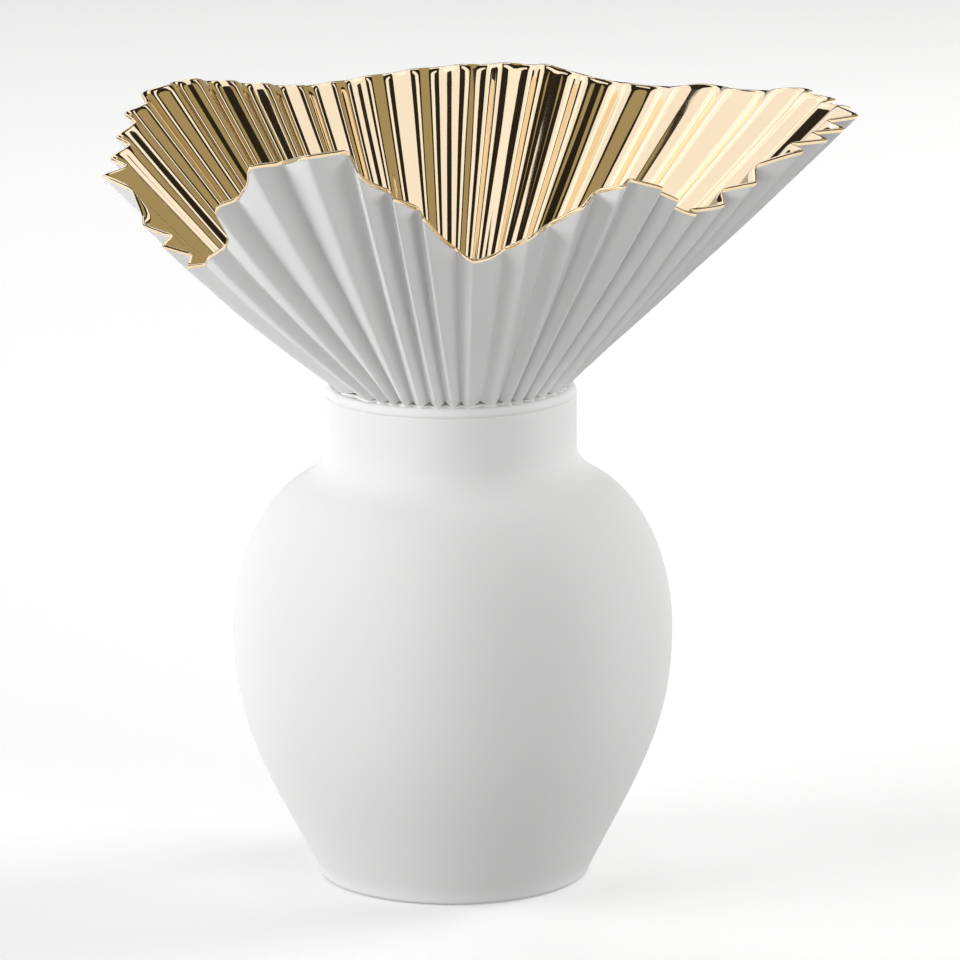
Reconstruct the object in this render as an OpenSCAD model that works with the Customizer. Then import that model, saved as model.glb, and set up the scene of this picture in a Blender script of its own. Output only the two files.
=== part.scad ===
// Porcelain vase: a matte cast body with a short neck, a lip ring on top of the neck and a
// wide hand-pleated collar that stands on the ring and is gilded inside.
// Millimetres, +Z up, origin at the centre of the standing face, -Y is the front.

/* [Body] */
// Outer radius where the vase stands, before the edge is rounded
foot_r = 52.5; // [40:0.5:70]
// Rounding of the foot's outer edge
foot_edge_r = 2.5; // [1:0.5:5]
// Width of the standing ring under the body
foot_ring_w = 8; // [4:0.5:14]
// Depth of the hollow inside the standing ring
recess_h = 2.5; // [1:0.5:5]
// Lean of the lower flank, outward from vertical
flank_angle = 27; // [15:1:40]
// Length over which the lower flank stays straight
flank_reach = 45; // [20:1:60]
// Outer radius at the widest place
belly_r = 84.5; // [65:0.5:110]
// Height of the widest place
belly_z = 97; // [70:1:120]
// Fullness of the belly below and above its widest place
belly_reach = [37, 27];
// Rise from the widest place to where the shoulder turns into the neck
shoulder_rise = 59; // [45:1:80]
// Rise of the shoulder's top, from horizontal
shoulder_angle = 27; // [10:1:45]
// Length over which the shoulder's top stays straight
shoulder_reach = 18; // [8:1:30]
// Radius of the concave turn from shoulder to neck
neck_turn_r = 9; // [4:0.5:14]
// Height of that turn
neck_turn_h = 12; // [6:0.5:18]
// Outer radius of the neck
neck_r = 48; // [38:0.5:60]
// Height of the neck above its concave turn
neck_h = 20.4; // [8:0.2:50]
// Thickness of the cast wall
wall = 4.5; // [3:0.25:7]
// Thickness of the body's floor
floor_t = 6; // [4:0.5:10]
// Rounding where the wall meets the floor inside
floor_round = 12; // [5:1:20]

/* [Lip ring] */
// Height of the ring that closes the neck
ring_h = 3; // [2:0.25:6]
// How far the mouth through the ring stays inside the collar's gilded foot
mouth_gap = 1; // [0.2:0.1:5]
// Rounding of the ring's outer lip
lip_r = 2.5; // [1:0.25:2.75]

/* [Slip and coats] */
// Thickness of the slip between neck and ring
ring_slip_t = 0.6; // [0.3:0.1:1]
// Depth of the fine groove that the slip leaves outside
seam_d = 0.5; // [0.2:0.1:1]
// Thickness of the slip bed under the pleats
collar_slip_t = 0.5; // [0.3:0.1:1]
// Room between the slip bed and the edges of the ring
slip_edge_gap = 0.2; // [0.1:0.05:0.5]
// Thickness of the glaze inside the body
glaze_t = 0.4; // [0.3:0.1:0.8]
// Thickness of the gilded coat inside the collar
gold_t = 0.4; // [0.3:0.1:0.8]

/* [Collar] */
// Slope of the collar's cone, from horizontal
collar_slope = 44; // [35:1:60]
// Room between the pleats' feet and the flat top of the ring
foot_margin = 0.3; // [0.1:0.1:1]
// Radial depth of a pleat at its foot
foot_depth = 3; // [2:0.25:4]
// Radial depth of a pleat where the collar is 110 high
rim_depth = 11; // [6:0.5:14]
// Outward bulge of the folds at half height
fold_bow = 2.5; // [0:0.5:6]
// Thickness of the collar's porcelain, across the cone
collar_wall = 2.2; // [1.6:0.1:3]

/* [Hidden] */
arc_steps = 8;
curve_steps = 14;
fold_rows = 6;
fold_splits = 3;
rim_depth_at = 110;
$fn = 180;

shoulder_z = belly_z + shoulder_rise;
turn_top_z = shoulder_z + neck_turn_h;
neck_top_z = turn_top_z + neck_h;
ring_z = neck_top_z + ring_slip_t;
ring_top_z = ring_z + ring_h;
collar_z = ring_top_z + collar_slip_t;
collar_foot_r = neck_r - lip_r - foot_margin;
gold_foot_r = collar_foot_r - foot_depth - (collar_wall + gold_t) / sin(collar_slope);
mouth_r = gold_foot_r - mouth_gap;
floor_z = recess_h + floor_t;

// Azimuths of the folds in degrees, at the foot and at the rim: a ridge, then a valley, all
// the way round. Hand pleating leaves them uneven.
folds = [
    [-180, -180], [-176, -175], [-172, -171], [-168, -167], [-165, -163], [-161, -160],
    [-157, -156], [-147, -152], [-135, -141], [-131, -138], [-127, -129], [-123, -126],
    [-120, -117], [-117, -114], [-113, -108], [-110, -103.5], [-105, -102], [-101, -99],
    [-97, -98], [-93, -95], [-89, -94], [-85, -89], [-82, -86], [-75, -80],
    [-69, -77], [-65, -73], [-61, -70], [-58, -67], [-54, -65], [-51, -62],
    [-47, -58], [-43, -56], [-39, -53], [-33, -50], [-28, -46], [-25, -43],
    [-22, -40], [-18, -38], [-14, -36], [-10, -33], [-6, -30], [-3, -27],
    [0, -23], [4, -19], [8, -16], [12, -12], [16, -9], [19, -3],
    [22, 3], [26, 7], [30, 12], [33, 17], [36, 21], [40, 26],
    [43, 31], [47, 37], [50, 42], [54, 48], [57, 53], [61, 58],
    [65, 62], [68, 66], [71, 70], [75, 74], [78, 77], [82, 81],
    [85, 84], [89, 88], [93, 92], [97, 96], [101, 100], [105, 104],
    [108, 107], [111, 110], [115, 113], [118, 116], [121, 119], [124, 122],
    [128, 125], [131, 128], [134, 131], [138, 135], [141, 138], [144, 141],
    [148, 145], [152, 150], [156, 153], [160, 157], [164, 161], [168, 165],
    [172, 169], [176, 174]
];

// Height of the wavy rim above the collar's foot, by azimuth.
rim_heights = [
    [-180, 81], [-178, 80], [-175, 78], [-173, 69], [-171, 65], [-167, 62], [-163, 60],
    [-160, 57], [-156, 54], [-152, 56], [-147, 59], [-141, 63], [-138, 68], [-135, 71],
    [-132, 74], [-130, 80], [-129, 88], [-126, 91], [-122, 97], [-120, 100], [-118, 107],
    [-117, 109], [-114, 109], [-111, 112], [-108, 115], [-103, 116], [-102, 106], [-99, 98],
    [-98, 98], [-95, 91], [-94, 90], [-92, 80], [-89, 73], [-86, 69], [-82, 70],
    [-79, 74], [-77, 79], [-73, 82], [-70, 92], [-68, 94], [-65, 100], [-62, 100],
    [-58, 97], [-56, 94], [-53, 90], [-50, 86], [-47, 82], [-43, 81], [-40, 83],
    [-38, 88], [-36, 91], [-33, 96], [-30, 102], [-23, 103], [-16, 104], [-9, 106],
    [-3, 107], [3, 104], [12, 104], [23, 104], [26, 102], [36, 99], [45, 99],
    [48, 97], [57, 96], [65, 97], [74, 101], [83, 101], [91, 100], [100, 98],
    [108, 96], [115, 95], [122, 97], [130, 100], [136, 102], [143, 101], [146, 100],
    [150, 97], [154, 95], [160, 90], [165, 87], [169, 84], [174, 82], [180, 81]
];

// How far the rim flares out beyond the cone, by azimuth: most at the left of the front.
rim_flares = [
    [-180, 3], [-165, 6], [-150, 7], [-135, 3], [-120, 0], [-30, 0], [0, 1], [30, 0],
    [160, 0], [180, 3]
];

function bezier(a, b, c, d, steps = curve_steps) = [
    for (i = [0:steps])
        let(t = i / steps, s = 1 - t)
            a * s ^ 3 + 3 * b * s ^ 2 * t + 3 * c * s * t ^ 2 + d * t ^ 3
];

function arc(centre, r, from, to) = [
    for (i = [0:arc_steps])
        let(a = from + (to - from) * i / arc_steps)
            centre + r * [cos(a), sin(a)]
];

function reverse(line) = [for (i = [len(line) - 1:-1:0]) line[i]];

function tail(line) = [for (i = [1:len(line) - 1]) line[i]];

// The line moved sideways to its left by d.
function inset(line, d) = [
    for (i = [0:len(line) - 1])
        let(
            along = line[min(i + 1, len(line) - 1)] - line[max(i - 1, 0)],
            left = [-along.y, along.x] / norm(along)
        )
            line[i] + d * left
];

// Outside of the body from the foot's rounded edge to the neck, as radius and height.
flank_line = bezier(
    [foot_r, foot_edge_r],
    [foot_r, foot_edge_r] + flank_reach * [sin(flank_angle), cos(flank_angle)],
    [belly_r, belly_z - belly_reach[0]],
    [belly_r, belly_z]
);
shoulder_end = [neck_r + neck_turn_r, shoulder_z];
turn_reach = neck_turn_r / 2;
shoulder_line = bezier(
    [belly_r, belly_z],
    [belly_r, belly_z + belly_reach[1]],
    shoulder_end + shoulder_reach * [cos(shoulder_angle), -sin(shoulder_angle)],
    shoulder_end
);
turn_line = bezier(
    shoulder_end,
    shoulder_end + turn_reach * [-1, tan(shoulder_angle)],
    [neck_r, turn_top_z - turn_reach],
    [neck_r, turn_top_z]
);
wall_line = concat(flank_line, tail(shoulder_line), tail(turn_line));

// Inside of the body at a depth of d in from the outside, from the floor's centre upward.
function inside_line(d, floor_height) =
    let(
        side = [for (p = inset(wall_line, d)) if (p.y > floor_height + floor_round) p],
        low = side[0],
        corner = [low.x - (low.y - floor_height) * tan(flank_angle), floor_height],
        start = [corner.x - floor_round, floor_height]
    )
        concat(
            [[0, floor_height]],
            bezier(start, (start + 2 * corner) / 3, (low + 2 * corner) / 3, low, arc_steps),
            tail(side),
            [[neck_r - d, neck_top_z]]
        );

module vase_body() {
    color("WhiteSmoke")
        rotate_extrude()
            polygon(concat(
                [[0, recess_h]],
                [[foot_r - foot_edge_r - foot_ring_w - recess_h, recess_h]],
                [[foot_r - foot_edge_r - foot_ring_w, 0]],
                arc([foot_r - foot_edge_r, foot_edge_r], foot_edge_r, -90, 0),
                tail(wall_line),
                [[neck_r, neck_top_z]],
                reverse(inside_line(wall, floor_z))
            ));
}

module inner_glaze() {
    color("Ivory")
        rotate_extrude()
            polygon(concat(
                inside_line(wall, floor_z),
                reverse(inside_line(wall + glaze_t, floor_z + glaze_t))
            ));
}

module flat_ring(inner_r, outer_r, z, height) {
    rotate_extrude()
        translate([inner_r, z])
            square([outer_r - inner_r, height]);
}

module ring_slip_joint() {
    color("LightGray")
        flat_ring(neck_r - wall, neck_r - seam_d, neck_top_z, ring_slip_t);
}

module neck_ring() {
    color("White")
        rotate_extrude()
            polygon(concat(
                [[mouth_r, ring_z], [neck_r, ring_z]],
                arc([neck_r - lip_r, ring_top_z - lip_r], lip_r, 0, 90),
                [[mouth_r, ring_top_z]]
            ));
}

module collar_slip_joint() {
    color("Silver")
        flat_ring(
            mouth_r + slip_edge_gap,
            neck_r - lip_r - slip_edge_gap,
            ring_top_z,
            collar_slip_t
        );
}

// A fold's columns: azimuth at the foot and at the rim, and how far it is from valley (0) to
// ridge (1), with fold_splits columns from each fold to the next.
function fold_at(i) =
    let(turns = floor(i / len(folds)), f = folds[i - turns * len(folds)])
        [f[0] + 360 * turns, f[1] + 360 * turns, (i + 1) % 2];
columns = [
    for (i = [0:len(folds) - 1], k = [0:fold_splits - 1])
        fold_at(i) + (fold_at(i + 1) - fold_at(i)) * k / fold_splits
];

function round_the_rim(azimuth, values) =
    lookup(azimuth > 180 ? azimuth - 360 : azimuth, values);

function on_circle(r, azimuth, z) = [r * cos(azimuth), r * sin(azimuth), z];

// Inside, the pleats are rounded corrugations, so a column's place between valley and ridge
// is eased.
function eased(u, depth) = depth > 0 ? (1 - cos(180 * u)) / 2 : u;

// A point of the collar's wall: s runs from the foot (0) to the rim (1), depth goes in from
// the outer face, and lift carries the rim up along the slope.
function collar_point(column, s, depth, lift = 0) =
    let(
        h = round_the_rim(column[1], rim_heights),
        inward = 1 - eased(column[2], depth),
        foot = on_circle(
            collar_foot_r - foot_depth * inward - depth / sin(collar_slope),
            column[0],
            collar_z
        ),
        pleat = foot_depth + (rim_depth - foot_depth) * h / rim_depth_at,
        rim = on_circle(
            collar_foot_r + h / tan(collar_slope) + round_the_rim(column[1], rim_flares)
                - pleat * inward - depth * sin(collar_slope) + lift * cos(collar_slope),
            column[1],
            collar_z + h + depth * cos(collar_slope) + lift * sin(collar_slope)
        ),
        bulge = on_circle(fold_bow * 4 * s * (1 - s), column[1], 0)
    )
        foot + (rim - foot) * s + bulge;

function fold_line(column, depth) = [
    for (row = [0:fold_rows]) collar_point(column, row / fold_rows, depth)
];

// Triangles over a closed band: loops of n points, one after another round the axis.
function band_faces(count, n, inward_first) = [
    for (c = [0:count - 1], k = [0:n - 1])
        let(
            a = c * n + k,
            b = c * n + (k + 1) % n,
            c2 = (c + 1) % count,
            d = c2 * n + k,
            e = c2 * n + (k + 1) % n
        )
            each inward_first ? [[a, d, b], [d, e, b]] : [[a, b, d], [d, b, e]]
];

module pleated_collar() {
    loops = [
        for (column = columns)
            concat(fold_line(column, 0), reverse(fold_line(column, collar_wall)))
    ];
    color("Gainsboro")
        polyhedron(
            [for (loop = loops) each loop],
            band_faces(len(loops), len(loops[0]), false)
        );
}

module gold_lining() {
    loops = [
        for (column = columns)
            concat(
                fold_line(column, collar_wall + gold_t),
                [collar_point(column, 1, collar_wall + gold_t, gold_t)],
                [collar_point(column, 1, 0, gold_t)],
                [collar_point(column, 1, 0)],
                reverse(fold_line(column, collar_wall))
            )
    ];
    color("Gold")
        polyhedron(
            [for (loop = loops) each loop],
            band_faces(len(loops), len(loops[0]), true)
        );
}

vase_body();
inner_glaze();
ring_slip_joint();
neck_ring();
collar_slip_joint();
pleated_collar();
gold_lining();
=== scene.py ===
import math

import bmesh
import bpy
import numpy as np
from mathutils import Matrix, Vector, noise
from mathutils.geometry import interpolate_bezier


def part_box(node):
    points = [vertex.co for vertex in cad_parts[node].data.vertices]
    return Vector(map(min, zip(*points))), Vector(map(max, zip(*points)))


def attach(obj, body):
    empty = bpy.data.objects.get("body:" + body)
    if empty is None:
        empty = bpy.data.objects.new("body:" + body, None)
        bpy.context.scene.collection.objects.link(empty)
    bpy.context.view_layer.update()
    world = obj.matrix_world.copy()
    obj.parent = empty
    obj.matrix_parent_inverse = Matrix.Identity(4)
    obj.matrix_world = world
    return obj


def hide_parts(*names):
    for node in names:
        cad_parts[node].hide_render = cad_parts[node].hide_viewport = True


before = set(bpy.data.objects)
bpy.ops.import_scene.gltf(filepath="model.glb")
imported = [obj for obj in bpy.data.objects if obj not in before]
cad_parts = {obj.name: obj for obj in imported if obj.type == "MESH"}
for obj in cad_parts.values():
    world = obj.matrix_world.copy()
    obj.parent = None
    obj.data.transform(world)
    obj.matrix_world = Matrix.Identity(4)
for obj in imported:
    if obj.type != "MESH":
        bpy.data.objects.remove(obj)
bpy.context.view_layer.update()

bl_info = {
    "name": "Pleated porcelain vase",
    "version": (1, 0, 0),
    "blender": (4, 5, 0),
    "location": "3D View > Sidebar > Vase",
    "description": "Bisque porcelain vase with a hand-pleated collar gilded inside",
    "category": "Add Mesh",
}

MM = 0.001
BODY = "root"
BODY_LOW, BODY_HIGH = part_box("vase_body")
RING_LOW, RING_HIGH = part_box("neck_ring")
SLIP_LOW, SLIP_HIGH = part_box("collar_slip_joint")

# Azimuths of the folds in degrees, at the foot and at the rim: a ridge, then a valley, all
# the way round.
FOLDS = [
    (-180, -180), (-176, -175), (-172, -171), (-168, -167), (-165, -163), (-161, -160),
    (-157, -156), (-147, -152), (-135, -141), (-131, -138), (-127, -129), (-123, -126),
    (-120, -117), (-117, -114), (-113, -108), (-110, -103.5), (-105, -102), (-101, -99),
    (-97, -98), (-93, -95), (-89, -94), (-85, -89), (-82, -86), (-75, -80),
    (-69, -77), (-65, -73), (-61, -70), (-58, -67), (-54, -65), (-51, -62),
    (-47, -58), (-43, -56), (-39, -53), (-33, -50), (-28, -46), (-25, -43),
    (-22, -40), (-18, -38), (-14, -36), (-10, -33), (-6, -30), (-3, -27),
    (0, -23), (4, -19), (8, -16), (12, -12), (16, -9), (19, -3),
    (22, 3), (26, 7), (30, 12), (33, 17), (36, 21), (40, 26),
    (43, 31), (47, 37), (50, 42), (54, 48), (57, 53), (61, 58),
    (65, 62), (68, 66), (71, 70), (75, 74), (78, 77), (82, 81),
    (85, 84), (89, 88), (93, 92), (97, 96), (101, 100), (105, 104),
    (108, 107), (111, 110), (115, 113), (118, 116), (121, 119), (124, 122),
    (128, 125), (131, 128), (134, 131), (138, 135), (141, 138), (144, 141),
    (148, 145), (152, 150), (156, 153), (160, 157), (164, 161), (168, 165),
    (172, 169), (176, 174),
]

# Height of the wavy rim above the collar's foot in millimetres, by azimuth.
RIM_HEIGHTS = [
    (-180, 81), (-178, 80), (-175, 78), (-173, 69), (-171, 65), (-167, 62), (-163, 60),
    (-160, 57), (-156, 54), (-152, 56), (-147, 59), (-141, 63), (-138, 68), (-135, 71),
    (-132, 74), (-130, 80), (-129, 88), (-126, 91), (-122, 97), (-120, 100), (-118, 107),
    (-117, 109), (-114, 109), (-111, 112), (-108, 115), (-103, 116), (-102, 106), (-99, 98),
    (-98, 98), (-95, 91), (-94, 90), (-92, 80), (-89, 73), (-86, 69), (-82, 70),
    (-79, 74), (-77, 79), (-73, 82), (-70, 92), (-68, 94), (-65, 100), (-62, 100),
    (-58, 97), (-56, 94), (-53, 90), (-50, 86), (-47, 82), (-43, 81), (-40, 83),
    (-38, 88), (-36, 91), (-33, 96), (-30, 102), (-23, 103), (-16, 104), (-9, 106),
    (-3, 107), (3, 104), (12, 104), (23, 104), (26, 102), (36, 99), (45, 99),
    (48, 97), (57, 96), (65, 97), (74, 101), (83, 101), (91, 100), (100, 98),
    (108, 96), (115, 95), (122, 97), (130, 100), (136, 102), (143, 101), (146, 100),
    (150, 97), (154, 95), (160, 90), (165, 87), (169, 84), (174, 82), (180, 81),
]

# How far the rim flares out beyond the cone in millimetres, by azimuth.
RIM_FLARES = [
    (-180, 3), (-165, 6), (-150, 7), (-135, 3), (-120, 0), (-30, 0), (0, 1), (30, 0),
    (160, 0), (180, 3),
]

# Where a pleat's columns stand between two folds: closest together at the folds.
COLUMN_PLACES = (0, 0.05, 0.14, 0.27, 0.42, 0.58, 0.73, 0.86, 0.95)

# Shares of a facet's width that are rounded on the outer face, where it meets a valley and
# where it meets a ridge at the foot, and how much crisper that ridge is at the rim.
VALLEY_ROUND = 0.08
RIDGE_ROUND = 0.18
RIDGE_CRISPER = 0.08
# How much rounder a valley is on the inner face, and the share that leaves a fold no flat.
VALLEY_SOFTER = 0.4
ALL_ROUND = 0.5
# Where up the far side the outer folds start to soften, and over how much of the height.
FAR_SOFT_START = 0.85
FAR_SOFT_SPAN = 0.15
# How closely the folds' unevenness follows itself, round the collar and up it.
WAVER_ROUND = 9
WAVER_UP = 3.5
# Steps in the soft bend inside the rim and in its small outer edge.
BEND_STEPS = 9
EDGE_STEPS = 4

# The bead of slip outside the pleats' feet, in millimetres: how far it spreads, how much more
# in a valley, how high it stands, and how much both are uneven.
BEAD_SPREAD = 0.35
BEAD_SPREAD_UNEVEN = 0.15
BEAD_IN_VALLEY = 0.7
BEAD_HEIGHT = 0.55
BEAD_HEIGHT_UNEVEN = 0.2
BEAD_LUMPS_ROUND = 14
# The bead's section from its outer edge inward: shares of its spread and of its height.
BEAD_SECTION = ((1, 0), (0.8, 0.45), (0.4, 0.75), (0, 1.5), (-1.5, 1.0))
# One drip of slip: where it is and how wide in degrees, its reach and height in millimetres.
DRIP_AZIMUTH = -61
DRIP_WIDTH = 1.6
DRIP_REACH = 1.3
DRIP_HEIGHT = 0.6

# The floor in metres: its flat radius, then how far out and up each step of its edge goes.
FLOOR_RADIUS = 4.5
FLOOR_SEGMENTS = 96
FLOOR_EDGE = ((0.5, 0.06), (0.35, 0.3), (0.1, 0.9))
FLOOR_GLOW = 0.285

# The camera: place in metres, turn in degrees (yaw, pitch down, roll), lens in millimetres.
CAMERA_PLACE = (0, -2.4, 0.7)
CAMERA_TURN = (0.257, 12.81, -0.35)
CAMERA_LENS = 240.85
CAMERA_SENSOR = 36
CAMERA_REACH = 50


def length_size(name, description, default):
    return bpy.props.FloatProperty(
        name=name, description=description, default=default, subtype="DISTANCE", unit="LENGTH"
    )


def slope_size(name, description, degrees):
    return bpy.props.FloatProperty(
        name=name, description=description, default=math.radians(degrees), subtype="ANGLE"
    )


def tint(name, description, default):
    return bpy.props.FloatVectorProperty(
        name=name, description=description, default=default, subtype="COLOR", min=0, max=1
    )


class VaseBodySizes(bpy.types.PropertyGroup):
    foot_r: length_size("Foot radius", "Outer radius where the vase stands", 52.5 * MM)
    foot_edge_r: length_size("Foot edge", "Rounding of the foot's outer edge", 2.5 * MM)
    foot_ring_w: length_size("Foot ring", "Width of the standing ring", 8 * MM)
    recess_h: length_size("Recess", "Depth of the hollow inside the standing ring", 2.5 * MM)
    flank_angle: slope_size("Flank lean", "Outward lean of the lower flank", 27)
    flank_reach: length_size("Flank reach", "Straightness of the lower flank", 45 * MM)
    belly_r: length_size("Belly radius", "Outer radius at the widest place", BODY_HIGH.x)
    belly_z: length_size("Belly height", "Height of the widest place", 97 * MM)
    belly_below: length_size("Belly below", "Fullness below the widest place", 37 * MM)
    belly_above: length_size("Belly above", "Fullness above the widest place", 27 * MM)
    shoulder_rise: length_size("Shoulder rise", "From the widest place to the neck's turn", 59 * MM)
    shoulder_angle: slope_size("Shoulder slope", "Rise of the shoulder's top", 27)
    shoulder_reach: length_size("Shoulder reach", "Straightness of the shoulder", 18 * MM)
    turn_r: length_size("Neck turn", "Radius of the concave turn into the neck", 9 * MM)
    turn_h: length_size("Turn height", "Height of that turn", 12 * MM)
    neck_r: length_size("Neck radius", "Outer radius of the neck", RING_HIGH.x)
    wall: length_size("Wall", "Thickness of the cast wall", 4.5 * MM)
    floor_t: length_size("Floor", "Thickness of the body's floor", 6 * MM)
    floor_round: length_size("Floor rounding", "Rounding where the wall meets the floor", 12 * MM)
    glaze_t: length_size("Glaze", "Thickness of the glaze inside", 0.4 * MM)
    seam_d: length_size("Seam", "Depth of the fine groove under the lip ring", 0.5 * MM)
    lip_r: length_size("Lip", "Rounding of the lip ring's outer edge", 2.5 * MM)


class VaseCollarSizes(bpy.types.PropertyGroup):
    slope: slope_size("Slope", "Slope of the collar's cone, from horizontal", 44)
    foot_margin: length_size("Foot margin", "From the ring's flat edge to the pleats", 0.3 * MM)
    foot_depth: length_size("Foot depth", "Radial depth of a pleat at its foot", 3 * MM)
    foot_rise: length_size("Foot rise", "How far the valleys' feet stand off the slip", 1.6 * MM)
    rim_depth: length_size("Rim depth", "Radial depth of a pleat at the full height", 11 * MM)
    full_height: length_size("Full height", "Height where pleats have the rim depth", 110 * MM)
    bow: length_size("Bow", "Outward bulge of the folds at half height", 2.5 * MM)
    wall: length_size("Wall", "Thickness of the porcelain, across the cone", 2.2 * MM)
    rim_edge: length_size("Rim edge", "Thickness of the rounded edge of the rim", 0.8 * MM)
    rim_bend: length_size("Rim bend", "Width of the soft bend inside the rim", 4.5 * MM)
    far_dip: length_size("Dip", "How far the outer folds dip at the rim, at the back", 2.5 * MM)
    gold_t: length_size("Gold", "Thickness of the gilded coat", 0.2 * MM)
    gold_lap: length_size("Gold lap", "How far the gold laps over the rim's outer edge", 0.4 * MM)
    waver: length_size("Waver", "Unevenness of the folds left by the hand", 0.5 * MM)


class VaseFinishes(bpy.types.PropertyGroup):
    bisque: tint("Bisque", "Colour of the unglazed porcelain", (0.8, 0.8, 0.8))
    slip: tint("Slip", "Colour of the fired slip", (0.77, 0.77, 0.76))
    glaze: tint("Glaze", "Colour of the glazed inside", (0.88, 0.88, 0.865))
    gold: tint("Gold", "Colour of the polished gold", (1.0, 0.8, 0.52))
    floor: tint("Floor", "Colour of the studio floor", (0.85, 0.85, 0.85))


# Materials


class Wire:
    """An output of a shader node. Arithmetic on it adds Math nodes."""

    def __init__(self, finish, socket):
        self.finish = finish
        self.socket = socket

    def maths(self, operation, *values):
        inputs = dict(enumerate(values))
        return self.finish.node("ShaderNodeMath", {"operation": operation}, inputs)

    def __add__(self, other):
        return self.maths("ADD", self, other)

    def __radd__(self, other):
        return self.maths("ADD", other, self)

    def __sub__(self, other):
        return self.maths("SUBTRACT", self, other)

    def __rsub__(self, other):
        return self.maths("SUBTRACT", other, self)

    def __mul__(self, other):
        return self.maths("MULTIPLY", self, other)

    def __rmul__(self, other):
        return self.maths("MULTIPLY", other, self)


class Finish:
    """A material with one Principled shader, whose constants are set on its own sockets."""

    def __init__(self, name, **constants):
        self.material = bpy.data.materials.new(name)
        self.material.use_nodes = True
        self.tree = self.material.node_tree
        self.shader = self.tree.nodes["Principled BSDF"]
        for socket, value in constants.items():
            self.shader.inputs[socket.replace("_", " ")].default_value = value

    def node(self, kind, settings, inputs, output=0):
        made = self.tree.nodes.new(kind)
        for name, value in settings.items():
            setattr(made, name, value)
        for socket, value in inputs.items():
            self.put(made.inputs[socket], value)
        return Wire(self, made.outputs[output])

    def put(self, socket, value):
        if isinstance(value, Wire):
            self.tree.links.new(value.socket, socket)
        else:
            socket.default_value = value

    def feed(self, **inputs):
        for socket, value in inputs.items():
            self.put(self.shader.inputs[socket.replace("_", " ")], value)

    def place(self, stretch=(1, 1, 1)):
        """Object coordinates, stretched along each axis."""
        here = self.node("ShaderNodeTexCoord", {}, {}, "Object")
        return self.node("ShaderNodeMapping", {}, {"Vector": here, "Scale": stretch})

    def grain(self, place, scale, detail=2.0, roughness=0.5):
        """Noise from 0 to 1 with scale grains a metre."""
        return self.node(
            "ShaderNodeTexNoise",
            {},
            {"Vector": place, "Scale": scale, "Detail": detail, "Roughness": roughness},
        )

    def mix(self, factor, a, b):
        return self.node(
            "ShaderNodeMix", {"data_type": "RGBA"}, {0: factor, 6: (*a, 1), 7: (*b, 1)}, 2
        )

    def bump(self, height, strength, distance):
        return self.node(
            "ShaderNodeBump", {}, {"Height": height, "Strength": strength, "Distance": distance}
        )

    def clear(self, value, low, high):
        """A value spread from 0 at low to 1 at high, and held there."""
        return self.node(
            "ShaderNodeMapRange", {}, {"Value": value, "From Min": low, "From Max": high}
        )


def shaded(colour, factor):
    return tuple(channel * factor for channel in colour)


def bisque_finish(name, colour):
    """Matt unglazed porcelain: faint clouds, a fine sandy grain and a few tiny pits."""
    finish = Finish(name, IOR=1.45, Diffuse_Roughness=0.6)
    here = finish.place()
    clouds = finish.grain(here, 14, 3, 0.55)
    sand = finish.grain(here, 1900, 2, 0.6)
    tooth = finish.grain(here, 620, 2, 0.5)
    pits = finish.clear(finish.grain(here, 240, 1), 0.74, 0.8)
    finish.feed(
        Base_Color=finish.mix(clouds * 0.7 + sand * 0.3, shaded(colour, 0.965), colour),
        Roughness=0.58 + 0.16 * tooth,
        Normal=finish.bump(sand * 0.5 + tooth * 0.4 - pits * 0.6, 0.22, 0.0001),
    )
    return finish.material


def slip_finish(colour):
    """Slip pressed out of a joint and fired: a little warmer and coarser than the bisque."""
    finish = Finish("fired_slip", IOR=1.45, Diffuse_Roughness=0.7)
    here = finish.place()
    lumps = finish.grain(here, 380, 3, 0.6)
    sand = finish.grain(here, 1700, 2, 0.6)
    finish.feed(
        Base_Color=finish.mix(lumps, shaded(colour, 0.93), colour),
        Roughness=0.66 + 0.2 * sand,
        Normal=finish.bump(lumps * 0.8 + sand * 0.3, 0.5, 0.0003),
    )
    return finish.material


def glaze_finish(colour):
    """Clear gloss glaze over white porcelain, slightly uneven where it ran."""
    finish = Finish("clear_glaze", IOR=1.5, Coat_Weight=0.4, Coat_Roughness=0.04)
    runs = finish.grain(finish.place((60, 60, 9)), 1, 2, 0.5)
    speckle = finish.grain(finish.place(), 900, 1)
    finish.feed(
        Base_Color=finish.mix(runs, shaded(colour, 0.96), colour),
        Roughness=0.07 + 0.08 * speckle,
        Normal=finish.bump(runs, 0.25, 0.0006),
    )
    return finish.material


def gold_finish(colour):
    """Polished fired gold: mirror bright, with soft waves and a trace of burnishing."""
    finish = Finish("polished_gold", IOR=1.45)
    here = finish.place()
    waves = finish.grain(here, 30, 1, 0.4)
    burnish = finish.grain(finish.place((420, 420, 60)), 1, 2, 0.5)
    film = finish.grain(here, 26, 2, 0.5)
    finish.feed(
        Metallic=0.985 + 0.015 * film,
        Base_Color=finish.mix(film, shaded(colour, 0.93), colour),
        Roughness=0.03 + 0.04 * burnish,
        Normal=finish.bump(waves, 0.15, 0.0006),
    )
    return finish.material


def floor_finish(colour):
    """Matt pale floor with a faint glow of its own, which keeps it bright."""
    finish = Finish(
        "pale_floor", IOR=1.4, Emission_Strength=FLOOR_GLOW, Emission_Color=(1, 1, 1, 1)
    )
    cloud = finish.grain(finish.place(), 0.8, 2)
    finish.feed(
        Base_Color=finish.mix(cloud, shaded(colour, 0.985), colour),
        Roughness=0.7 + 0.1 * cloud,
    )
    return finish.material


# Meshes


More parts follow.
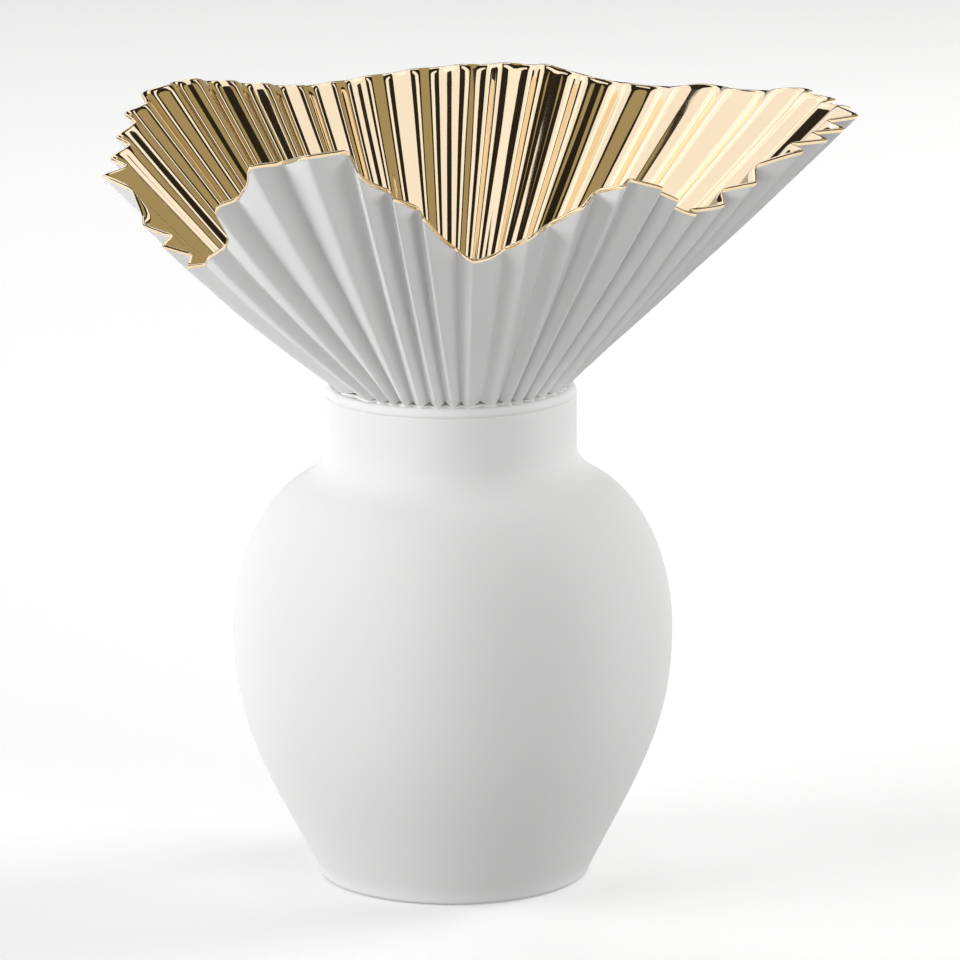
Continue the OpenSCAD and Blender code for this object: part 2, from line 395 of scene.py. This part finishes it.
def piece(name, bm, material, replaced, sharp_degrees=40):
    """The finished mesh as an object at the origin that rides on the vase."""
    mesh = bpy.data.meshes.new(name)
    bm.to_mesh(mesh)
    bm.free()
    mesh.shade_smooth()
    mesh.set_sharp_from_angle(angle=math.radians(sharp_degrees))
    mesh.materials.append(material)
    made = bpy.data.objects.new(name, mesh)
    bpy.context.collection.objects.link(made)
    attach(made, BODY)
    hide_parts(*replaced)
    return made


def turned(outline, steps=240):
    """A closed solid of revolution from an outline of (radius, height) points."""
    bm = bmesh.new()
    points = [bm.verts.new((r, 0, z)) for r, z in outline]
    edges = [bm.edges.new(pair) for pair in zip(points, points[1:])]
    if outline[0][0] > 0:
        edges.append(bm.edges.new((points[-1], points[0])))
    bmesh.ops.spin(
        bm,
        geom=points + edges,
        cent=(0, 0, 0),
        axis=(0, 0, 1),
        angle=2 * math.pi,
        steps=steps,
        use_merge=True,
    )
    bmesh.ops.remove_doubles(bm, verts=bm.verts[:], dist=1e-6)
    bmesh.ops.recalc_face_normals(bm, faces=bm.faces[:])
    return bm


def curve(start, start_handle, end_handle, end, points=24):
    """A Bezier stretch of an outline, from (radius, height) to (radius, height)."""
    corners = [Vector((r, z, 0)) for r, z in (start, start_handle, end_handle, end)]
    return [(p.x, p.y) for p in interpolate_bezier(*corners, points)]


def arc(centre, radius, first, last, points=9):
    """A round stretch of an outline, from one angle in degrees to another."""
    turns = (math.radians(first + (last - first) * i / (points - 1)) for i in range(points))
    return [(centre[0] + radius * math.cos(t), centre[1] + radius * math.sin(t)) for t in turns]


def moved_in(line, distance):
    """The line moved to its left by distance."""
    moved = []
    for i, (r, z) in enumerate(line):
        after = line[min(i + 1, len(line) - 1)]
        before = line[max(i - 1, 0)]
        along = Vector((after[0] - before[0], after[1] - before[1])).normalized()
        moved.append((r - along.y * distance, z + along.x * distance))
    return moved


def wall_line(size):
    """Outside of the body from the foot's rounded edge up to the neck's turn."""
    lean = size.flank_angle
    foot = (size.foot_r, size.foot_edge_r)
    foot_handle = (
        foot[0] + size.flank_reach * math.sin(lean),
        foot[1] + size.flank_reach * math.cos(lean),
    )
    belly = (size.belly_r, size.belly_z)
    shoulder_z = size.belly_z + size.shoulder_rise
    shoulder = (size.neck_r + size.turn_r, shoulder_z)
    shoulder_handle = (
        shoulder[0] + size.shoulder_reach * math.cos(size.shoulder_angle),
        shoulder[1] - size.shoulder_reach * math.sin(size.shoulder_angle),
    )
    half_turn = size.turn_r / 2
    turn_handle = (
        shoulder[0] - half_turn,
        shoulder[1] + half_turn * math.tan(size.shoulder_angle),
    )
    turn_top = (size.neck_r, shoulder_z + size.turn_h)
    flank = curve(foot, foot_handle, (size.belly_r, size.belly_z - size.belly_below), belly)
    top = curve(belly, (size.belly_r, size.belly_z + size.belly_above), shoulder_handle, shoulder)
    turn = curve(shoulder, turn_handle, (size.neck_r, turn_top[1] - half_turn), turn_top, 10)
    return flank + top[1:] + turn[1:]


def inside_line(size, depth, floor_z, top_z):
    """Inside of the body at a depth in from its outside, from the floor's centre upward."""
    side = [p for p in moved_in(wall_line(size), depth) if p[1] > floor_z + size.floor_round]
    low = side[0]
    corner = (low[0] - (low[1] - floor_z) * math.tan(size.flank_angle), floor_z)
    start = (corner[0] - size.floor_round, floor_z)

    def toward_corner(point):
        return tuple((p + 2 * c) / 3 for p, c in zip(point, corner))

    bend = curve(start, toward_corner(start), toward_corner(low), low, 9)
    return [(0, floor_z)] + bend + side[1:] + [(size.neck_r - depth, top_z)]


class VASE_OT_body(bpy.types.Operator):
    """Makes the cast body with its standing ring, hollow inside"""

    bl_idname = "vase.body"
    bl_label = "Body"

    def execute(self, context):
        size = context.scene.vase_body
        edge = size.foot_edge_r
        ring_inner = size.foot_r - edge - size.foot_ring_w
        top_z = BODY_HIGH.z
        lip = 0.6 * MM
        outside = [(0, size.recess_h), (ring_inner - size.recess_h, size.recess_h), (ring_inner, 0)]
        outside += arc((size.foot_r - edge, edge), edge, -90, 0)
        outside += wall_line(size)[1:]
        outside += arc((size.neck_r - lip, top_z - lip), lip, 0, 90, 5)
        inside = inside_line(size, size.wall, size.recess_h + size.floor_t, top_z)
        bm = turned(outside + inside[::-1])
        finish = bisque_finish("bisque_body", context.scene.vase_finishes.bisque)
        piece("cast_body", bm, finish, ["vase_body"], 30)
        return {"FINISHED"}


class VASE_OT_inner_glaze(bpy.types.Operator):
    """Makes the glaze that waterproofs the inside of the body"""

    bl_idname = "vase.inner_glaze"
    bl_label = "Inner glaze"

    def execute(self, context):
        size = context.scene.vase_body
        floor_z = size.recess_h + size.floor_t
        tuck = 0.05 * MM
        back = inside_line(size, size.wall - tuck, floor_z - tuck, BODY_HIGH.z - tuck)
        front = inside_line(
            size, size.wall + size.glaze_t, floor_z + size.glaze_t, BODY_HIGH.z - tuck
        )
        bm = turned(back + front[::-1])
        finish = glaze_finish(context.scene.vase_finishes.glaze)
        piece("glaze_coat", bm, finish, ["inner_glaze"], 30)
        return {"FINISHED"}


class VASE_OT_neck_ring(bpy.types.Operator):
    """Makes the lip ring on top of the neck, and the slip seam under it"""

    bl_idname = "vase.neck_ring"
    bl_label = "Neck ring"

    def execute(self, context):
        size = context.scene.vase_body
        colours = context.scene.vase_finishes
        mouth_r = ring_mouth()
        low, high = RING_LOW.z, RING_HIGH.z
        small = 0.35 * MM
        outline = arc((mouth_r + small, low + small), small, 180, 270, 5)
        outline += arc((size.neck_r - small, low + small), small, -90, 0, 5)
        outline += arc((size.neck_r - size.lip_r, high - size.lip_r), size.lip_r, 0, 90, 12)
        outline += arc((mouth_r + small, high - small), small, 90, 180, 5)
        finish = bisque_finish("bisque_ring", colours.bisque)
        piece("lip_ring", turned(outline), finish, ["neck_ring"], 40)

        inner_r = size.neck_r - size.wall
        outer_r = size.neck_r - size.seam_d
        sunk = 0.15 * MM
        low, high = BODY_HIGH.z - sunk, RING_LOW.z + sunk
        middle = (outer_r + sunk, (low + high) / 2)
        seam = [
            (inner_r, low),
            (outer_r - sunk, low),
            middle,
            (outer_r - sunk, high),
            (inner_r, high),
        ]
        finish = slip_finish(colours.slip)
        piece("ring_slip", turned(seam), finish, ["ring_slip_joint"])
        return {"FINISHED"}


# The collar


def ring_mouth():
    """Radius of the mouth through the lip ring."""
    radii = [math.hypot(v.co.x, v.co.y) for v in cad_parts["neck_ring"].data.vertices]
    return min(radii)


def round_the_rim(azimuth, table):
    """The table's value at an azimuth, averaged over a degree each way so that no corner shows."""
    angles, values = zip(*table)
    around = azimuth + np.array((-1.0, -0.5, 0, 0.5, 1.0))
    return float(np.mean(np.interp((around + 180) % 360 - 180, angles, values))) * MM


def fold_columns():
    """For every column: azimuth at the foot and at the rim, and its place from valley to ridge."""
    columns = []
    for i, here in enumerate(FOLDS):
        after = FOLDS[(i + 1) % len(FOLDS)]
        wrap = 360 if i == len(FOLDS) - 1 else 0
        for place in COLUMN_PLACES:
            foot, rim = (a + (b + wrap - a) * place for a, b in zip(here, after))
            columns.append((foot, rim, 1 - place if i % 2 == 0 else place))
    return columns


def folded(place, valley, ridge):
    """From valley (0) to ridge (1) along a flat facet, rounded over those shares of its width."""
    if place < valley:
        return valley / 2 + place**2 / (2 * valley)
    if 1 - place < ridge:
        return 1 - ridge / 2 - (1 - place) ** 2 / (2 * ridge)
    return place


def on_circle(radius, azimuth, z):
    turn = math.radians(azimuth)
    return Vector((radius * math.cos(turn), radius * math.sin(turn), z))


class Collar:
    """Places points of the pleated wall, from the foot on its bed of slip to the wavy rim."""

    def __init__(self, size, body):
        self.size = size
        self.foot_r = body.neck_r - body.lip_r - size.foot_margin
        self.foot_z = SLIP_HIGH.z
        self.columns = fold_columns()
        self.heights = [round_the_rim(rim, RIM_HEIGHTS) for _, rim, _ in self.columns]
        self.flares = [round_the_rim(rim, RIM_FLARES) for _, rim, _ in self.columns]
        self.farness = [max(math.sin(math.radians(rim)), 0) ** 0.5 for _, rim, _ in self.columns]

    def point(self, column, along, depth, below=0.0):
        """along runs from 0 at the foot to 1 at the rim; depth goes in from the outer face.

        below goes back down the slope from there."""
        size = self.size
        foot_azimuth, rim_azimuth, place = self.columns[column]
        height = self.heights[column]
        along -= below * math.sin(size.slope) / height
        far = self.farness[column]
        inside = min(max(depth / size.wall, 0), 1)
        near_rim = min(max((along - FAR_SOFT_START) / FAR_SOFT_SPAN, 0), 1)
        soft = max(inside, far * near_rim)
        valley = VALLEY_ROUND + VALLEY_SOFTER * soft
        ridge = RIDGE_ROUND - RIDGE_CRISPER * along
        ridge += (ALL_ROUND - ridge) * far * soft
        outward = folded(place, valley, ridge)
        inward = 1 - outward
        height -= size.far_dip * far * outward * height / size.full_height
        sine, cosine = math.sin(size.slope), math.cos(size.slope)
        foot = on_circle(
            self.foot_r - size.foot_depth * inward - depth / sine,
            foot_azimuth,
            self.foot_z + size.foot_rise * inward**2,
        )
        pleat = size.foot_depth + (size.rim_depth - size.foot_depth) * height / size.full_height
        rim = on_circle(
            self.foot_r + height / math.tan(size.slope) + self.flares[column]
            - pleat * inward - depth * sine,
            rim_azimuth,
            self.foot_z + height + depth * cosine,
        )
        bulge = size.bow * 4 * along * (1 - along) + self.waver(rim_azimuth, along)
        return foot + (rim - foot) * along + on_circle(bulge, rim_azimuth, 0)

    def waver(self, azimuth, along):
        """A small unevenness in and out, none at the foot."""
        turn = math.radians(azimuth)
        spot = Vector(
            (WAVER_ROUND * math.cos(turn), WAVER_ROUND * math.sin(turn), WAVER_UP * along)
        )
        return self.size.waver * along * noise.noise(spot)

    def over_the_rim(self, growth):
        """The rim's section from the inner face outward, as (along, depth, below).

        Inside, the wall thins in a long soft bend; outside, it has a small round edge."""
        size = self.size
        edge = size.rim_edge
        crest = edge / 2
        inner = [
            (
                1,
                crest + (size.wall + growth - crest) * math.cos(turn),
                size.rim_bend - (size.rim_bend + growth) * math.sin(turn),
            )
            for turn in quarter_turn(BEND_STEPS)
        ]
        outer = [
            (
                1,
                crest - (crest + growth) * math.sin(turn),
                edge - (edge + growth) * math.cos(turn),
            )
            for turn in quarter_turn(EDGE_STEPS)
        ]
        return inner + outer[1:]

    def inner_face(self, growth, rows):
        """The inner face from the foot up to where the rim's bend starts."""
        size = self.size
        return [(row / rows, size.wall + growth, size.rim_bend * row / rows) for row in range(rows)]


def lofted(count, rows):
    """A closed band: a circle of count edges extruded from row to row and back to the first.

    Each row is a function from a column's number to its place."""
    bm = bmesh.new()
    column = bm.verts.layers.int.new("column")
    ring = bmesh.ops.create_circle(bm, cap_ends=False, radius=1, segments=count)["verts"]
    for number, vert in enumerate(ring):
        vert[column] = number
        vert.co = rows[0](number)
    edges = bm.edges[:]
    for row in rows[1:] + rows[:1]:
        grown = bmesh.ops.extrude_edge_only(bm, edges=edges)["geom"]
        for vert in (g for g in grown if isinstance(g, bmesh.types.BMVert)):
            vert.co = row(vert[column])
        edges = [g for g in grown if isinstance(g, bmesh.types.BMEdge) and ring_edge(g, column)]
    bmesh.ops.remove_doubles(bm, verts=bm.verts[:], dist=1e-6)
    bmesh.ops.recalc_face_normals(bm, faces=bm.faces[:])
    bm.verts.layers.int.remove(column)
    return bm


def ring_edge(edge, column):
    """Whether an edge runs round the band, and not from row to row."""
    return edge.verts[0][column] != edge.verts[1][column]


def collar_rows(collar, stretch):
    """Rows for lofted from (along, depth, below) triples."""

    def row(spot):
        return lambda number: collar.point(number, *spot)

    return [row(spot) for spot in stretch]


def quarter_turn(steps):
    return [math.pi / 2 * step / steps for step in range(steps + 1)]


class VASE_OT_collar(bpy.types.Operator):
    """Makes the pleated porcelain collar"""

    bl_idname = "vase.collar"
    bl_label = "Pleated collar"

    def execute(self, context):
        collar = Collar(context.scene.vase_collar, context.scene.vase_body)
        edge = collar.size.rim_edge
        inner_rows = 14
        outer_rows = 20
        stretch = collar.inner_face(0, inner_rows) + collar.over_the_rim(0)
        way_down = [1 - row / outer_rows for row in range(1, outer_rows + 1)]
        stretch += [(along, 0, edge * along) for along in way_down]
        bm = lofted(len(collar.columns), collar_rows(collar, stretch))
        finish = bisque_finish("bisque_collar", context.scene.vase_finishes.bisque)
        piece("pleated_porcelain", bm, finish, ["pleated_collar"], 75)
        return {"FINISHED"}


class VASE_OT_gold(bpy.types.Operator):
    """Makes the polished gold coat inside the collar, lapped over its rim"""

    bl_idname = "vase.gold"
    bl_label = "Gold lining"

    def execute(self, context):
        collar = Collar(context.scene.vase_collar, context.scene.vase_body)
        size = collar.size
        sunk = -0.1 * MM
        front_rows = 24
        back_rows = 12
        stretch = collar.inner_face(size.gold_t, front_rows) + collar.over_the_rim(size.gold_t)
        stretch += [(1, -size.gold_t, size.rim_edge + size.gold_lap / 2)]
        stretch += [(1, -sunk, size.rim_edge + size.gold_lap)]
        stretch += reversed(collar.inner_face(sunk, back_rows) + collar.over_the_rim(sunk))
        bm = lofted(len(collar.columns), collar_rows(collar, stretch))
        finish = gold_finish(context.scene.vase_finishes.gold)
        piece("gold_coat", bm, finish, ["gold_lining"], 75)
        return {"FINISHED"}


class VASE_OT_collar_slip(bpy.types.Operator):
    """Makes the slip that holds the pleats' feet, with fillets and one small drip"""

    bl_idname = "vase.collar_slip"
    bl_label = "Slip under the collar"

    def execute(self, context):
        body = context.scene.vase_body
        collar = Collar(context.scene.vase_collar, body)
        inner_r = ring_mouth() + 0.2 * MM
        sunk = 0.1 * MM
        flat_r = body.neck_r - body.lip_r

        def ring_top(radius):
            over = min(max(radius - flat_r, 0), body.lip_r)
            return RING_HIGH.z - body.lip_r + math.sqrt(body.lip_r**2 - over**2)

        def bead(number, out, up):
            azimuth, _, place = collar.columns[number]
            foot = collar.point(number, 0, 0).xy.length
            turn = math.radians(azimuth)
            lumps = BEAD_LUMPS_ROUND
            uneven = noise.noise(Vector((lumps * math.cos(turn), lumps * math.sin(turn), 0)))
            drip = math.exp(-(((azimuth - DRIP_AZIMUTH) / DRIP_WIDTH) ** 2))
            spread = (BEAD_SPREAD + BEAD_SPREAD_UNEVEN * uneven) * MM + DRIP_REACH * MM * drip
            radius = foot + spread * out + (1 - place) * BEAD_IN_VALLEY * MM * out
            rise = BEAD_HEIGHT + BEAD_HEIGHT_UNEVEN * uneven + DRIP_HEIGHT * drip
            return on_circle(radius, azimuth, ring_top(radius) - sunk + up * rise * MM)

        def bead_row(spot):
            return lambda number: bead(number, *spot)

        def inner_row(z):
            return lambda number: on_circle(inner_r, collar.columns[number][0], z)

        rows = [inner_row(RING_HIGH.z - sunk)]
        rows += [bead_row(spot) for spot in BEAD_SECTION]
        rows += [inner_row(SLIP_HIGH.z - sunk)]
        bm = lofted(len(collar.columns), rows)
        finish = slip_finish(context.scene.vase_finishes.slip)
        piece("collar_slip", bm, finish, ["collar_slip_joint"], 60)
        return {"FINISHED"}


# The stage


def softbox(name, place, aim, width, depth, brightness, colour=(1, 1, 1), mirrored=False):
    """A soft rectangular light that faces a point; its power is brightness times pi and its area.

    A mirrored one shows only in what is glossy, as the cards round a polished piece do, and
    any other one lights only what is matt."""
    light = bpy.data.lights.new(name, "AREA")
    light.shape = "RECTANGLE"
    light.size = width
    light.size_y = depth
    light.energy = brightness * math.pi * width * depth
    light.color = colour
    made = bpy.data.objects.new(name, light)
    made.visible_diffuse = not mirrored
    made.visible_glossy = mirrored
    made.visible_camera = False
    bpy.context.collection.objects.link(made)
    made.location = place
    made.rotation_euler = (Vector(aim) - Vector(place)).to_track_quat("-Z", "Y").to_euler()
    return made


class VASE_OT_stage(bpy.types.Operator):
    """Makes the pale floor, the soft studio lights and the camera"""

    bl_idname = "vase.stage"
    bl_label = "Stage"

    def execute(self, context):
        scene = context.scene
        self.floor(scene)
        self.lights(scene)
        self.camera(scene)
        return {"FINISHED"}

    def floor(self, scene):
        """A wide disc whose edge turns up; it throws no light back onto the vase."""
        bm = bmesh.new()
        bmesh.ops.create_circle(bm, cap_ends=True, radius=FLOOR_RADIUS, segments=FLOOR_SEGMENTS)
        edges = bm.edges[:]
        for out, up in FLOOR_EDGE:
            grown = bmesh.ops.extrude_edge_only(bm, edges=edges)["geom"]
            verts = [g for g in grown if isinstance(g, bmesh.types.BMVert)]
            edges = [e for e in bm.edges if e.is_boundary]
            radius = verts[0].co.xy.length
            wider = (radius + out) / radius
            grow = Matrix.Translation((0, 0, up)) @ Matrix.Diagonal((wider, wider, 1, 1))
            bmesh.ops.transform(bm, matrix=grow, verts=verts)
        bmesh.ops.recalc_face_normals(bm, faces=bm.faces[:])
        mesh = bpy.data.meshes.new("floor")
        bm.to_mesh(mesh)
        bm.free()
        mesh.shade_smooth()
        mesh.materials.append(floor_finish(scene.vase_finishes.floor))
        floor = bpy.data.objects.new("floor", mesh)
        bpy.context.collection.objects.link(floor)
        floor.visible_diffuse = False

    def lights(self, scene):
        """A faint warm surround and the soft lights for what is matt, then the cards."""
        world = bpy.data.worlds.new("studio")
        scene.world = world
        world.use_nodes = True
        background = world.node_tree.nodes["Background"]
        background.inputs["Color"].default_value = (1, 0.85, 0.65, 1)
        background.inputs["Strength"].default_value = 0.02
        middle = (0, 0, 0.25)
        softbox("key_left", (-2.5, -0.6, 0.7), middle, 2.0, 1.6, 8.0)
        softbox("top_back", (-0.5, 1.9, 1.8), (-0.3, 1.2, 0), 3.4, 1.8, 1.15)
        softbox("back_right", (2.2, 0.9, 0.8), middle, 1.5, 1.5, 9.0)
        softbox("front_right", (1.8, -2.0, 0.7), middle, 1.4, 1.2, 5.0)
        softbox("low_front", (-0.7, -2.6, 0.3), middle, 2.0, 0.5, 8.5)
        self.cards(middle)

    def cards(self, middle):
        """Pale and warm cards round the collar, with dark gaps between, for the gold to mirror."""
        pale = (0.97, 1, 1.1)
        warm = (1, 0.87, 0.5)
        under = (0, 0.3, 0)
        for name, place, aim, width, depth, brightness, colour in (
            ("left", (-1, 0.5, 1.8), (-1, 0.5, 0), 1.3, 2.4, 1.0, pale),
            ("left_core", (-1.1, 0.7, 1.7), (-1.1, 0.7, 0), 0.7, 0.8, 0.2, pale),
            ("low_left", (-2.2, 0.5, 0.9), middle, 1.2, 1.4, 1.1, pale),
            ("back", (0, 1.5, 1.7), (0, 1.5, 0), 0.9, 1.0, 1.0, pale),
            ("back_left", (-1.05, 1.8, 1.25), middle, 1.4, 1.2, 1.0, pale),
            ("right", (1.3, 1.3, 1.47), middle, 2.8, 1.5, 0.36, warm),
            ("front", (0.2, -0.95, 1.85), middle, 1.0, 1.0, 0.36, warm),
            ("strip_right", (0.75, 0, 1.8), under, 0.4, 1.8, 1.05, pale),
        ):
            softbox("card_" + name, place, aim, width, depth, brightness, colour, mirrored=True)

    def camera(self, scene):
        """A long lens that looks a little down on the vase."""
        lens = bpy.data.cameras.new("camera")
        lens.lens = CAMERA_LENS
        lens.sensor_width = CAMERA_SENSOR
        lens.clip_end = CAMERA_REACH
        made = bpy.data.objects.new("camera", lens)
        bpy.context.collection.objects.link(made)
        yaw, pitch, roll = (math.radians(angle) for angle in CAMERA_TURN)
        made.matrix_world = (
            Matrix.Translation(CAMERA_PLACE)
            @ Matrix.Rotation(-yaw, 4, "Z")
            @ Matrix.Rotation(math.pi / 2 - pitch, 4, "X")
            @ Matrix.Rotation(roll, 4, "Z")
        )
        scene.camera = made
        scene.view_settings.view_transform = "Standard"


class VASE_PT_sidebar(bpy.types.Panel):
    """Lists the pieces of the vase"""

    bl_label = "Pleated porcelain vase"
    bl_idname = "VASE_PT_sidebar"
    bl_space_type = "VIEW_3D"
    bl_region_type = "UI"
    bl_category = "Vase"

    def draw(self, context):
        for step in MAKING_ORDER:
            self.layout.operator(step.bl_idname)
        for group in (context.scene.vase_body, context.scene.vase_collar, context.scene.vase_finishes):
            column = self.layout.column(align=True)
            for name in group.bl_rna.properties.keys():
                if name not in ("rna_type", "name"):
                    column.prop(group, name)


GROUPS = (VaseBodySizes, VaseCollarSizes, VaseFinishes)
MAKING_ORDER = (
    VASE_OT_body,
    VASE_OT_inner_glaze,
    VASE_OT_neck_ring,
    VASE_OT_collar_slip,
    VASE_OT_collar,
    VASE_OT_gold,
    VASE_OT_stage,
)


def register():
    for made in GROUPS + MAKING_ORDER + (VASE_PT_sidebar,):
        bpy.utils.register_class(made)
    bpy.types.Scene.vase_body = bpy.props.PointerProperty(type=VaseBodySizes)
    bpy.types.Scene.vase_collar = bpy.props.PointerProperty(type=VaseCollarSizes)
    bpy.types.Scene.vase_finishes = bpy.props.PointerProperty(type=VaseFinishes)


def unregister():
    del bpy.types.Scene.vase_finishes
    del bpy.types.Scene.vase_collar
    del bpy.types.Scene.vase_body
    for made in reversed(GROUPS + MAKING_ORDER + (VASE_PT_sidebar,)):
        bpy.utils.unregister_class(made)


def main():
    register()
    for step in MAKING_ORDER:
        group, name = step.bl_idname.split(".")
        getattr(getattr(bpy.ops, group), name)()


if __name__ == "__main__":
    main()
